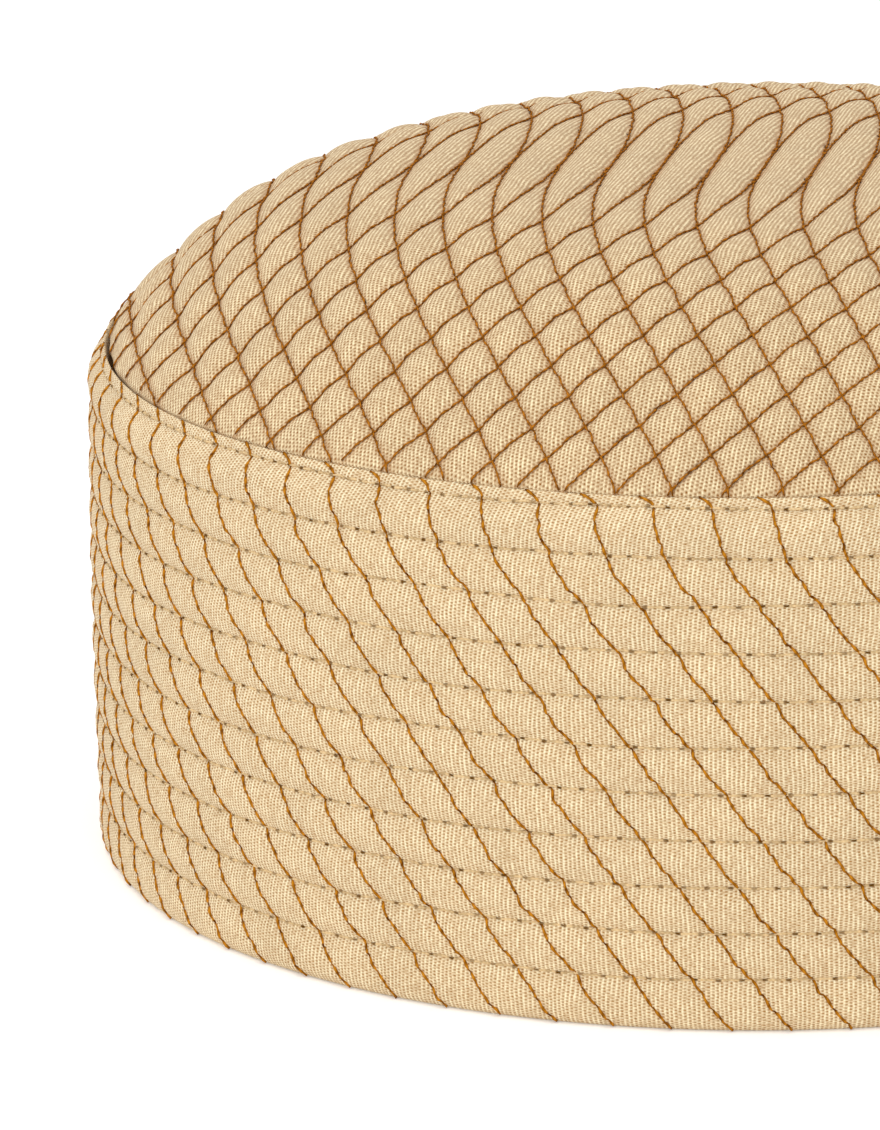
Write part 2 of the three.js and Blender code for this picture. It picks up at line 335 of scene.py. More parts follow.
def woven_cotton(name, warp_colour, weft_colour, weft_pitch, knots, stitched=(), crease_shade_colour=None):
    """Material of the cloth, on the piece's own flat map in millimetres. Ridges are a cosine across
    the warp, to a power. Knots are a cosine along it, shifted by half for each next gap between two
    threads, and the same waves part each ridge into faint beads. Where a stitched field is whole,
    brown painted shade darkens the cloth in the crease beside the thread."""
    material = bpy.data.materials.new(name)
    material.use_nodes = True
    tree = material.node_tree
    tree.nodes.clear()

    # The place on the cloth, a little uneven
    flat = add(tree, "UVMap", uv_map="cloth")
    uneven = add(tree, "TexNoise", {"Vector": flat, "Scale": 0.9, "Detail": 2.0}, out=1)
    drift = add(tree, "TexNoise", {"Vector": flat, "Scale": 0.12}, out=1)
    shift = add(tree, "VectorMath", {0: uneven, 1: (-0.5, -0.5, -0.5)}, operation="ADD")
    stray_by = (THREAD_STRAY, THREAD_STRAY, 0.0)
    shift = add(tree, "VectorMath", {0: shift, 1: stray_by, 2: flat}, operation="MULTIPLY_ADD")
    drift_by = (THREAD_DRIFT, THREAD_DRIFT, 0.0)
    place = add(tree, "VectorMath", {0: drift, 1: drift_by, 2: shift}, operation="MULTIPLY_ADD")
    across = add(tree, "SeparateXYZ", {0: place})
    along = across.node.outputs[1]

    # Ridges across the warp, and the numbers of the thread and of the gap that the place is in
    thread = add(tree, "Math", {0: across, 1: 1 / WARP_PITCH}, operation="MULTIPLY")
    wave = add(tree, "Math", {0: thread, 1: 2 * math.pi}, operation="MULTIPLY")
    wave = add(tree, "Math", {0: wave}, operation="COSINE")
    ridge = add(tree, "Math", {0: wave, 1: 0.5, 2: 0.5}, operation="MULTIPLY_ADD")
    ridge = add(tree, "Math", {0: ridge, 1: 1.6}, operation="POWER")
    gap = add(tree, "Math", {0: 1.0, 1: ridge}, operation="SUBTRACT")
    number = add(tree, "Math", {0: thread, 1: 0.5}, operation="ADD")
    number = add(tree, "Math", {0: number}, operation="FLOOR")
    gap_number = add(tree, "Math", {0: thread}, operation="FLOOR")

    # Knots of the weft in the gaps, and beads of the warp on the ridges
    step = add(tree, "Math", {0: along, 1: 2 * math.pi / weft_pitch}, operation="MULTIPLY")
    knot = add(tree, "Math", {0: gap_number, 1: math.pi, 2: step}, operation="MULTIPLY_ADD")
    knot = add(tree, "Math", {0: knot}, operation="COSINE")
    knot = add(tree, "Math", {0: knot, 1: 0.5, 2: 0.5}, operation="MULTIPLY_ADD")
    knot = add(tree, "Math", {0: knot, 1: gap}, operation="MULTIPLY")
    bead = add(tree, "Math", {0: number, 1: math.pi, 2: step}, operation="MULTIPLY_ADD")
    bead = add(tree, "Math", {0: bead}, operation="COSINE")
    bead = add(tree, "Math", {0: bead, 1: BEADS, 2: 1.0 - BEADS}, operation="MULTIPLY_ADD")

    # Each warp thread is thicker or thinner than the next, and changes slowly along itself
    stretch = add(tree, "Math", {0: along, 1: 0.35}, operation="MULTIPLY")
    stretch = add(tree, "CombineXYZ", {0: number, 1: stretch})
    slub = add(tree, "TexNoise", {"Vector": stretch, "Scale": 1.7, "Detail": 2.0}, out=0)
    slub = add(tree, "MapRange", {0: slub, 1: 0.3, 2: 0.7, 3: 0.5, 4: 1.15})
    warp = add(tree, "Math", {0: ridge, 1: slub}, operation="MULTIPLY")
    warp = add(tree, "Math", {0: warp, 1: bead}, operation="MULTIPLY")

    # The tone runs from the weft's colour at 0 to the warp's at 1, with specks and broad patches
    tone = add(tree, "Math", {0: knot, 1: knots, 2: 0.08}, operation="MULTIPLY_ADD")
    tone = add(tree, "Math", {0: tone, 1: warp}, operation="ADD")
    speckle = add(tree, "TexNoise", {"Vector": flat, "Scale": 2.6, "Detail": 2.0}, out=0)
    speckle = add(tree, "MapRange", {0: speckle, 1: 0.3, 2: 0.7, 3: -0.15, 4: 0.15})
    tone = add(tree, "Math", {0: tone, 1: speckle}, operation="ADD")
    pair = {0: tone, 6: linear(weft_colour), 7: linear(warp_colour)}
    colour = add(tree, "Mix", pair, out=2, data_type="RGBA")
    mottle = add(tree, "TexNoise", {"Vector": flat, "Scale": 0.09, "Detail": 3.0}, out=0)
    mottle = add(tree, "MapRange", {0: mottle, 1: 0.3, 2: 0.7, 3: 0.95, 4: 1.03})
    colour = add(tree, "VectorMath", {0: colour, "Scale": mottle}, operation="SCALE")
    # Painted shade: the cloth is darkened towards brown in the crease beside each stitch line
    for field in stitched:
        line = add(tree, "Attribute", out=2, attribute_name=field)
        line = add(tree, "Math", {0: line, 1: math.pi}, operation="MULTIPLY")
        line = add(tree, "Math", {0: line}, operation="SINE")
        line = add(tree, "Math", {0: line}, operation="ABSOLUTE")
        beside = add(tree, "MapRange", {0: line, 1: 0.04, 2: 0.45, 3: 0.36, 4: 0.0})
        pair = {0: beside, 6: colour, 7: linear(crease_shade_colour)}
        colour = add(tree, "Mix", pair, out=2, data_type="RGBA")

    # Relief of the weave with fine fuzz, and a matt finish, mattest in the gaps
    fuzz = add(tree, "TexNoise", {"Vector": flat, "Scale": 9.0, "Detail": 2.0}, out=0)
    height = add(tree, "Math", {0: fuzz, 1: 0.3, 2: tone}, operation="MULTIPLY_ADD")
    bump = add(tree, "Bump", {"Height": height, "Strength": 0.7, "Distance": WEAVE_DEPTH * MM})
    rough = add(tree, "MapRange", {0: tone, 1: 0.0, 2: 1.0, 3: 0.95, 4: 0.82})
    shader = add(
        tree,
        "BsdfPrincipled",
        {"Base Color": colour, "Roughness": rough, "IOR": 1.5, "Sheen Weight": 0.08, "Normal": bump},
    )
    shader.node.inputs["Specular IOR Level"].default_value = 0.25
    add(tree, "OutputMaterial", {"Surface": shader})
    return material


band_cotton = woven_cotton("beige woven cotton, band", BAND_WARP, BAND_WEFT, BAND_WEFT_PITCH, BAND_KNOTS)
band.data.materials.append(band_cotton)
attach(band, "root")
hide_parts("band")


# The slanting stitches of the band: one strong twisted thread, golden brown, in lockstitches two
# and a half millimetres long. It lies on the cloth and dips into it at each needle hole.

THREAD_RADIUS = 0.2
THREAD_SIDES = 5
THREAD_RISE = 0.1  # of the thread's middle over the cloth
THREAD_DIP = 0.08  # and back into it at a needle hole
STITCH = 2.55
STITCH_RINGS = 6  # rings of the thread's mesh in one stitch
STITCH_TURN = 0.14  # each stitch lies across the line, by this much to either side at its ends
HOLE_NARROWNESS = 6  # power that keeps a needle hole to the very end of a stitch
THIN_AT_HOLE = 0.3  # part of its thickness that a thread loses in a needle hole
UNEVEN_THREAD = 0.2  # part by which it is thicker or thinner along itself
UNEVEN_WAVE = 9.0  # radians of that in one stitch
STITCH_CHANGE = 2.4  # radians by which the turn of the stitches changes from one to the next
LINE_CHANGE = 1.3  # and from one line to the next
SLANT_TOP = -0.2  # rows down, where a line comes out of the seam
SLANT_FOOT = 0.22  # height at which it goes under the foot
SLANT_POINTS = 260
SLANT_STRAY = 0.13  # how far a line strays to both sides
SLANT_SEED = 100
SLANT_LIGHT = "#C4811F"
# Brown of the painted shade between the plies and at the needle holes, and of random blotches
SLANT_SHADE_AND_BLOTCH = "#562800"

# A line follows the turned hem down: how far in from the band's face it lies, for some heights
HEM_HEIGHT = [0, 0.25, 0.75, 1.4, 2.4]
HEM_IN = [1.1, 0.6, 0.2, -0.1, 0]


def stray(length, seed, shortest=1.6, longest=9.0, waves=7):
    """Small waver along a hand guided line: sines of many lengths with phases from the seed."""
    draw = np.random.default_rng(seed)
    lengths = draw.uniform(shortest, longest, waves)
    starts = draw.uniform(0, TURN, waves)
    return np.sin(np.multiply.outer(length, TURN / lengths) + starts).sum(-1) / np.sqrt(waves)


def sew(name, lines, ups, radius, rise, dip, stitch, turned):
    """Threads along lines of points, one closed tube for each. A tube's rings stand across the
    line, with the cloth's outward direction up, and rise above it. It sinks by dip at the ends of
    each stitch, where a high power of a cosine peaks, and steps from one side of the line to the
    other there. Its thickness and its steps change by a sine and a cosine from stitch to stitch."""
    points, quads, caps, uv_quads, uv_caps = [], [], [], [], []
    first = 0
    spin = TURN / THREAD_SIDES * np.arange(THREAD_SIDES)
    for line, up in zip(lines, ups):
        number = len(points)
        ahead = np.gradient(line, axis=0)
        ahead /= np.linalg.norm(ahead, axis=1, keepdims=True)
        side = np.cross(ahead, up)
        side /= np.linalg.norm(side, axis=1, keepdims=True)
        over = np.cross(side, ahead)
        gone = np.concatenate([[0], np.cumsum(np.linalg.norm(np.diff(line, axis=0), axis=1))]) / stitch
        hole = np.abs(np.cos(np.pi * gone)) ** HOLE_NARROWNESS
        thick = radius * (1 - THIN_AT_HOLE * hole + UNEVEN_THREAD * np.sin(UNEVEN_WAVE * gone + number))
        uneven = 0.6 + 0.6 * np.cos(STITCH_CHANGE * np.floor(gone) + LINE_CHANGE * number)
        aside = turned * uneven * (2 * (gone - np.floor(gone)) - 1)
        middle = line + up * (rise - dip * hole)[:, None] + side * aside[:, None]
        ring = np.cos(spin)[:, None] * side[:, None] + np.sin(spin)[:, None] * over[:, None]
        points.append((middle[:, None] + ring * thick[:, None, None]).reshape(-1, 3))
        count = len(line)
        row, column = np.meshgrid(np.arange(count - 1), np.arange(THREAD_SIDES), indexing="ij")
        near = first + row * THREAD_SIDES
        far = near + THREAD_SIDES
        following = (column + 1) % THREAD_SIDES
        corners = [near + column, near + following, far + following, far + column]
        quads.append(np.stack(corners, -1).reshape(-1, 4))
        places = np.stack([gone[row], gone[row], gone[row + 1], gone[row + 1]], -1)
        rounds = np.stack([column, column + 1, column + 1, column], -1) / THREAD_SIDES
        uv_quads.append(np.stack([places, rounds], -1).reshape(-1, 2))
        caps.append(first + np.arange(THREAD_SIDES)[::-1])
        caps.append(first + (count - 1) * THREAD_SIDES + np.arange(THREAD_SIDES))
        uv_caps.append(np.zeros((2 * THREAD_SIDES, 2)))
        first += count * THREAD_SIDES
    faces = [np.concatenate(quads), np.array(caps)]
    return build(name, np.concatenate(points), faces, np.concatenate(uv_quads + uv_caps))


def even_steps(line, step):
    """The same line with points at even steps of its length."""
    gone = np.concatenate([[0], np.cumsum(np.linalg.norm(np.diff(line, axis=0), axis=1))])
    wanted = np.linspace(0, gone[-1], max(3, int(round(gone[-1] / step)) + 1))
    return np.stack([np.interp(wanted, gone, line[:, axis]) for axis in range(line.shape[1])], -1)


def slant_line(line):
    """Places down one slanting line, as turn and height, from the fold to under the foot's edge."""
    down_rows = np.linspace(SLANT_TOP, (BAND_HEIGHT - FIRST_ROW - SLANT_FOOT) / ROW_PITCH, SLANT_POINTS)
    height = BAND_HEIGHT - FIRST_ROW - down_rows * ROW_PITCH
    aside = stray(down_rows * ROW_PITCH, SLANT_SEED + line, shortest=1.2, longest=6.0)
    turn = slant_turn(line, down_rows) + SLANT_STRAY / RIM_RADIUS * aside
    flat = even_steps(np.stack([turn * RIM_RADIUS, height], -1), STITCH / STITCH_RINGS)
    return flat[:, 0] / RIM_RADIUS, flat[:, 1]


def twisted_thread(name, light, shade_and_blotch, turns, ply_shade, hole, uneven, reach):
    """Material of a thread: plies that wind round each other, some turns for each stitch, with
    painted shade of a given strength in the grooves between them. Where it goes into a needle hole,
    from reach of the cosine there, painted shade darkens it by hole, and unevenly so. Random
    blotches darken it too. The map runs in stitches along and once round."""
    material = bpy.data.materials.new(name)
    material.use_nodes = True
    tree = material.node_tree
    tree.nodes.clear()
    along = add(tree, "SeparateXYZ", {0: add(tree, "UVMap", uv_map="cloth")})
    around = along.node.outputs[1]
    wind = add(tree, "Math", {0: along, 1: turns, 2: around}, operation="MULTIPLY_ADD")
    wind = add(tree, "Math", {0: wind, 1: 2 * math.pi}, operation="MULTIPLY")
    ply = add(tree, "Math", {0: wind}, operation="COSINE")
    ply = add(tree, "Math", {0: ply, 1: 0.5, 2: 0.5}, operation="MULTIPLY_ADD")
    # Painted shade where the thread goes into a needle hole, at the ends of each stitch
    hole_shade = add(tree, "Math", {0: along, 1: math.pi}, operation="MULTIPLY")
    hole_shade = add(tree, "Math", {0: hole_shade}, operation="COSINE")
    hole_shade = add(tree, "Math", {0: hole_shade}, operation="ABSOLUTE")
    rise = {0: hole_shade, 1: reach, 2: 0.985, 3: 0.0, 4: hole}
    hole_shade = add(tree, "MapRange", rise, interpolation_type="SMOOTHSTEP")
    here = add(tree, "TexCoord", out=3)
    faint = add(tree, "TexNoise", {"Vector": here, "Scale": 500.0}, out=0)
    faint = add(tree, "MapRange", {0: faint, 1: 0.35, 2: 0.6, 3: 1.0 - uneven, 4: 1.0})
    hole_shade = add(tree, "Math", {0: hole_shade, 1: faint}, operation="MULTIPLY")
    blotch = add(tree, "TexNoise", {"Vector": here, "Scale": 900.0, "Detail": 2.0}, out=0)
    blotch = add(tree, "MapRange", {0: blotch, 1: 0.4, 2: 0.7, 3: 0.0, 4: 0.45 * hole})
    # The darker of two: painted shade between the plies plus random blotches, and the needle hole's painted
    # shade
    shade = add(tree, "Math", {0: ply, 1: -ply_shade, 2: ply_shade}, operation="MULTIPLY_ADD")
    shade = add(tree, "Math", {0: shade, 1: blotch}, operation="ADD")
    shade = add(tree, "Math", {0: shade, 1: hole_shade}, operation="MAXIMUM")
    colour = add(tree, "Mix", {0: shade, 6: linear(light), 7: linear(shade_and_blotch)}, out=2, data_type="RGBA")
    bump = add(tree, "Bump", {"Height": ply, "Strength": 0.5, "Distance": 0.08 * MM})
    shader = add(
        tree,
        "BsdfPrincipled",
        {"Base Color": colour, "Roughness": 0.8, "IOR": 1.5, "Normal": bump},
    )
    shader.node.inputs["Specular IOR Level"].default_value = 0.03
    add(tree, "OutputMaterial", {"Surface": shader})
    return material


lines, ups = [], []
for number in range(SLANTS):
    turn, height = slant_line(number)
    radius = band_radius(turn, height) - np.interp(height, HEM_HEIGHT, HEM_IN)
    lines.append(on_band(turn, radius, height))
    ups.append(on_band(turn, 1 + 0 * turn, 0 * turn))
slants = sew(
    "band_slanting_stitches",
    lines,
    ups,
    radius=THREAD_RADIUS,
    rise=THREAD_RISE,
    dip=THREAD_DIP,
    stitch=STITCH,
    turned=STITCH_TURN,
)

# Cotton thread, matt and golden, with brown painted shade between its two plies and at the needle holes
golden_thread = twisted_thread(
    "golden brown sewing thread",
    SLANT_LIGHT,
    SLANT_SHADE_AND_BLOTCH,
    turns=2.0,
    ply_shade=0.5,
    hole=0.95,
    uneven=0.5,
    reach=0.86,
)
slants.data.materials.append(golden_thread)
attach(slants, "root")


# The rows of the band: a fine beige thread in running stitches of two and a half to three
# millimetres. It is pulled tight into the cloth, so that little shows but the brown painted shade
# of its needle holes.

ROW_THREAD_RADIUS = 0.19
ROW_DIP = -0.14  # below 0: the thread stands out at its ends, so that the painted shade of the needle holes shows
ROW_STRAY = 0.05
ROW_SEED = 60
ROW_RINGS = 6
ROW_LIGHT = "#E6C898"
# Brown of the painted shade at the needle holes and between the plies, and of random blotches
ROW_SHADE_AND_BLOTCH = "#634216"

lines, ups = [], []
for row in range(ROWS):
    stitches = TOP_ROW_STITCHES if row < TOP_ROWS else ROW_STITCHES
    rings = stitches * ROW_RINGS
    turn = TURN * np.arange(rings) / rings - np.pi - row * ROW_SHIFT / stitches
    plain = BAND_HEIGHT - FIRST_ROW - row * ROW_PITCH
    height = plain + row_waver(turn, row) + ROW_STRAY * stray(turn * RIM_RADIUS, ROW_SEED + row)
    lines.append(on_band(turn, band_radius(turn, height), height))
    ups.append(on_band(turn, 1 + 0 * turn, 0 * turn))

# Fine cotton thread, matt and beige like the cloth, with faint painted shade between its plies and a brown
# mark of painted shade at each needle hole
beige_thread = twisted_thread(
    "beige sewing thread",
    ROW_LIGHT,
    ROW_SHADE_AND_BLOTCH,
    turns=5.0,
    ply_shade=0.12,
    hole=1.0,
    uneven=0.4,
    reach=0.86,
)
row_length = TURN * (RIM_RADIUS - RIB_DEPTH)
for name, own, stitches in (
    ("band_top_row_stitches", slice(TOP_ROWS), TOP_ROW_STITCHES),
    ("band_row_stitches", slice(TOP_ROWS, ROWS), ROW_STITCHES),
):
    rows = sew(
        name,
        lines[own],
        ups[own],
        radius=ROW_THREAD_RADIUS,
        rise=0.0,
        dip=ROW_DIP,
        stitch=row_length / stitches,
        turned=0.0,
    )
    rows.data.materials.append(beige_thread)
    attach(rows, "root")


# The crown: a round of the same padded cotton, sewn in just inside the band's top edge. Stitch
# lines quilt it into long strips over the middle, which part into diamonds towards the seam.

CROWN_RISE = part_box("crown")[1].z / MM - BAND_HEIGHT
SEAM_GAP = 0.3  # between the crown's edge and the inside of the band
SEAM_RADIUS = RIM_RADIUS - TOP_INSET - WALL - SEAM_GAP
SHOULDER_POWER = 5.0  # across: a higher power is flatter on top
SLOPE_POWER = 1.07  # upwards: 1 leaves a straight slope at the seam
SECTION_POINTS = 4001

STRIP_PITCH = 6.88
STRIP_LEAN = math.radians(8.5)  # to the right of the middle line
STRIP_PHASE = 0.256  # of a pitch, from the middle line to the first strip's edge
MIDDLE_SHIFT = -4.6  # of the quilting's own middle, from the crown's
EDGE_SPREAD = 0.068  # by which the strips widen at the edge
STRIP_BOW = -1.11  # pitches that a strip bends aside from the middle to the front
SIDE_BOW = -1.75  # and more at the sides
DIAMOND_ROWS = 6.23  # rows of diamonds from the middle to the front
ROW_CROWDING = 2.5  # power by which they crowd towards it
FLANK_ROWS = 4.95  # more rows towards the two sides
EDGE_ROWS = -0.56  # and fewer close to the seam
ROW_SKEW = 0.22  # rows by which the right half is ahead of the left

QUILT_DEPTH = 1.15  # from the tops of the puffs down to where two stitch lines cross
CREASE_RISE = 0.38  # midway between two crossings a stitch line lies this much higher
QUILT_SOFTNESS = 0.1  # of the creases, where 0 is sharp
PUFF_FULLNESS = 0.6  # power that fills out a puff, where 1 is plain sines
SEAM_DRAW = 7.0  # the puffs flatten over this length to the seam
SEAM_SWELL = 0.75  # the cloth swells out by this much over the seam, so that it nearly meets the band
SWELL_LENGTH = 13.0  # the swell starts this far from the seam
SWELL_END = 1.0  # and is whole this far from it
SEAM_GAPE = 0.65  # at its left side it stands this far off the band
GAPE_TURN = -1.5  # radians from the front to the middle of that stretch
GAPE_WIDTH = 0.26
GAPE_LENGTH = 4  # the cloth bends in over this length to the seam there
GAPE_UNEVEN = 0.2

CLOTH_LEAN = math.radians(12)  # by which the cloth's threads lean to the right of the middle line
# The crown's cotton is a darker, browner copy of the band's, as painted shade on the crown
CROWN_WARP = "#FEEBC0"
CROWN_WEFT = "#8A5616"
CROWN_WEFT_PITCH = 0.5  # coarser than it is, so that it still shows on the slanting view of the top
CROWN_KNOTS = 0.44
PAINTED_CREASE_SHADE = "#A8703A"  # brown of the painted shade in the creases beside the thread

TOP_RINGS = 168
UNDER_RINGS = 50
SNAP_REACH = 0.3  # points of the mesh this near to a stitch line are moved onto it
SNAP_ROUNDS = 2
SKIRT_STEP = 2.0  # on the flat map, from one row of the skirt to the next

# The crown's edge inside the band, as points of how far in from the seam and how far below it
SKIRT = [(-0.45, 0.8), (0.55, 3.2), (0.55, 7.0), (1.15, 8.0), (2.75, 8.0), (3.35, 7.0)]

# Section of the crown as a superellipse, flat on top and steep at the seam
section_turn = np.linspace(0, np.pi / 2, SECTION_POINTS)
section_radius = SEAM_RADIUS * np.sin(section_turn) ** (2 / SHOULDER_POWER)
section_height = BAND_HEIGHT + CROWN_RISE * np.clip(np.cos(section_turn), 0, 1) ** (2 / SLOPE_POWER)
section_step = np.hypot(np.diff(section_radius), np.diff(section_height))
section_arc = np.concatenate([[0], np.cumsum(section_step)])
section_out = np.gradient(section_radius, section_arc)
section_up = np.gradient(section_height, section_arc)
CLOTH_RADIUS = section_arc[-1]


def crown_point(x, y, lift):
    """Point on the crown from one of the flat cloth: as far along the section as it is from the
    middle, in the same direction, and lifted off along the section's normal. Past the seam it goes
    straight down."""
    arc = np.hypot(x, y)
    out = np.interp(arc, section_arc, section_out)
    up = np.interp(arc, section_arc, section_up)
    radius = np.interp(arc, section_arc, section_radius) - up * lift
    height = np.interp(arc, section_arc, section_height) + out * lift - np.clip(arc - CLOTH_RADIUS, 0, None)
    away = np.maximum(arc, 1e-9)
    return np.stack([radius * x / away, radius * y / away, height], -1)


def quilting(x, y):
    """Place in the quilting of a point of the flat cloth, as the two numbers whose whole values
    are the stitch lines: the strips across plus, and minus, the rows of diamonds along."""
    across = (math.cos(STRIP_LEAN) * x - math.sin(STRIP_LEAN) * y) / CLOTH_RADIUS
    along = (math.sin(STRIP_LEAN) * x + math.cos(STRIP_LEAN) * y) / CLOTH_RADIUS
    return quilt_numbers(across, along)


def quilt_numbers(across, along):
    """The same from places across and along the strips, in parts of the cloth's radius. Strips are
    counted by their pitch, which grows with the fourth power of the distance from the middle. They
    bow by the cube of the place along, and by that place times the square of the place across. Rows
    of diamonds grow with a power of the place along, and faster with the place across squared."""
    middle = along - MIDDLE_SHIFT / CLOTH_RADIUS
    pitch = STRIP_PITCH * (1 + EDGE_SPREAD * (across**2 + along**2) ** 2)
    bow = STRIP_BOW * middle**3 + SIDE_BOW * middle * across**2
    strip = across * CLOTH_RADIUS / pitch + bow - STRIP_PHASE
    reach = np.abs(middle)
    edge = EDGE_ROWS * (across**2 + along**2) ** 4 * reach**2
    rows = DIAMOND_ROWS * reach**ROW_CROWDING + (FLANK_ROWS * across**2 + edge) * reach
    rows = rows + ROW_SKEW * np.sin(np.pi * np.clip(across, -1, 1)) * reach**2
    diamond = np.sign(middle) * rows
    return strip + diamond, strip - diamond


def seam_gape(turn):
    """Distance by which the seam opens: a bell curve round the left side, with a waver."""
    ragged = 1 + GAPE_UNEVEN * waver(turn, seed=77, slowest=20, fastest=70)
    return SEAM_GAPE * ragged * np.exp(-(((turn - GAPE_TURN) / GAPE_WIDTH) ** 2))


def crease_depth(x, y):
    """Depth of the stitches under the tops of the puffs: the quilting's, less a rise between the
    crossings of two lines, where either cosine is small. A smooth step takes it away at the seam."""
    first, second = quilting(x, y)
    between = 1 - (np.cos(np.pi * first) * np.cos(np.pi * second)) ** 2
    drawn = smooth(np.hypot(x, y), CLOTH_RADIUS - SEAM_DRAW, CLOTH_RADIUS)
    return (QUILT_DEPTH - CREASE_RISE * between) * (1 - drawn)


def quilt_floor(x, y):
    """Height of the stitches: their depth down, plus a swell over the seam, less where the seam
    gapes. Swell and gape come in by smooth steps."""
    arc = np.hypot(x, y)
    swell = SEAM_SWELL * smooth(arc, CLOTH_RADIUS - SWELL_LENGTH, CLOTH_RADIUS - SWELL_END)
    gape = seam_gape(np.arctan2(x, -y)) * smooth(arc, CLOTH_RADIUS - GAPE_LENGTH, CLOTH_RADIUS)
    return swell - gape - crease_depth(x, y)


def quilt_lift(x, y):
    """Height of the crown's face: that of the stitches plus the puffs, which are the creases of the
    two families of lines multiplied, to a power."""
    first, second = quilting(x, y)
    puff = (crease(first, QUILT_SOFTNESS) * crease(second, QUILT_SOFTNESS)) ** PUFF_FULLNESS
    return quilt_floor(x, y) + crease_depth(x, y) * puff


def snap(x, y, reach):
    """Moves the points nearest to a stitch line onto it, so that the creases are crisp: a step
    along the slope of the line's number, where that step is shorter than reach."""
    nudge = 0.01
    for _ in range(SNAP_ROUNDS):
        for family in (0, 1):
            here = quilting(x, y)[family]
            slope_x = (quilting(x + nudge, y)[family] - here) / nudge
            slope_y = (quilting(x, y + nudge)[family] - here) / nudge
            steep = slope_x**2 + slope_y**2
            short = (np.round(here) - here) / steep
            near = np.abs(short) * np.sqrt(steep) < reach
            x = x + np.where(near, short * slope_x, 0)
            y = y + np.where(near, short * slope_y, 0)
    return x, y


def strip_faces(inner, inner_count, outer, outer_count):
    """Triangles between two rings of points that start at the same turn: each side of a ring
    goes with the point of the other ring that is nearest to the side's middle."""
    side = np.arange(outer_count)
    near = ((2 * side + 1) * inner_count + outer_count) // (2 * outer_count) % inner_count
    faces = [np.stack([inner + near, outer + side, outer + (side + 1) % outer_count], -1)]
    if inner_count > 1:
        side = np.arange(inner_count)
        near = -((inner_count - (2 * side + 1) * outer_count) // (2 * inner_count)) % outer_count
        faces.append(np.stack([inner + side, outer + near, inner + (side + 1) % inner_count], -1))
    return np.concatenate(faces)


def round_cloth(rings, radius):
    """Points of a flat round in rings of 6, 12, 18 and so on, as places across and along."""
    ring = np.repeat(np.arange(rings + 1), np.maximum(1, 6 * np.arange(rings + 1)))
    start = np.concatenate([[0], 1 + 3 * np.arange(rings) * (np.arange(rings) + 1)])
    turn = TURN * (np.arange(len(ring)) - start[ring]) / np.maximum(1, 6 * ring)
    return radius * ring / rings * np.sin(turn), -radius * ring / rings * np.cos(turn)


def make_crown():
    """Crown as one closed shell of rings: from the middle of its top out to the seam, down its
    skirt, in under the foot, up the inside and back to the middle."""
    x, y = round_cloth(TOP_RINGS, CLOTH_RADIUS)
    inner = np.hypot(x, y) < CLOTH_RADIUS - SNAP_REACH
    moved_x, moved_y = snap(x, y, SNAP_REACH)
    x = np.where(inner, moved_x, x)
    y = np.where(inner, moved_y, y)
    parts = [crown_point(x, y, quilt_lift(x, y))]
    flats = [np.stack([x, y], -1)]
    counts = [1] + [6 * ring for ring in range(1, TOP_RINGS + 1)]

    rim_turn = TURN * np.arange(6 * TOP_RINGS) / (6 * TOP_RINGS)
    gape = seam_gape((rim_turn + np.pi) % TURN - np.pi)
    gone = CLOTH_RADIUS
    for inwards, below in SKIRT:
        parts.append(on_band(rim_turn, SEAM_RADIUS - inwards - gape, BAND_HEIGHT - below))
        gone += SKIRT_STEP
        flats.append(np.stack([gone * np.sin(rim_turn), -gone * np.cos(rim_turn)], -1))
        counts.append(6 * TOP_RINGS)

    x, y = round_cloth(UNDER_RINGS, CLOTH_RADIUS)
    under = crown_point(x, y, -WALL + 0 * x)
    start = [0] + [1 + 3 * ring * (ring + 1) for ring in range(UNDER_RINGS + 1)]
    for ring in range(UNDER_RINGS, -1, -1):
        parts.append(under[start[ring] : start[ring + 1]])
        flats.append(np.stack([x, y], -1)[start[ring] : start[ring + 1]])
        counts.append(start[ring + 1] - start[ring])

    points = np.concatenate(parts)
    flat = np.concatenate(flats)
    starts = np.concatenate([[0], np.cumsum(counts)])
    faces = []
    for i in range(len(counts) - 1):
        if i < TOP_RINGS + len(SKIRT):
            faces.append(strip_faces(starts[i], counts[i], starts[i + 1], counts[i + 1]))
        else:
            faces.append(strip_faces(starts[i + 1], counts[i + 1], starts[i], counts[i])[:, ::-1])
    faces = np.concatenate(faces)
    first, second = quilting(flat[:, 0], flat[:, 1])
    across = flat @ (math.cos(CLOTH_LEAN), -math.sin(CLOTH_LEAN))
    along = flat @ (math.sin(CLOTH_LEAN), math.cos(CLOTH_LEAN))
    uv = np.stack([across, along], -1)
    return build("crown_cloth", points, [faces], uv[faces.ravel()], {"first": first, "second": second})


crown = make_crown()

# The band's cotton again, in a darker, browner copy that paints in shade on the crown, with more brown
# painted shade along the creases beside the thread
crown_cotton = woven_cotton(
    "beige woven cotton, crown",
    CROWN_WARP,
    CROWN_WEFT,
    CROWN_WEFT_PITCH,
    CROWN_KNOTS,
    stitched=("first", "second"),
    crease_shade_colour=PAINTED_CREASE_SHADE,
)
crown.data.materials.append(crown_cotton)
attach(crown, "root")
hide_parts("crown")


# The crown's stitches: the same twisted thread in a darker brown, in two families of lines that
# run together between the long strips and cross in the diamonds.

CROWN_LIGHT = "#B6721E"
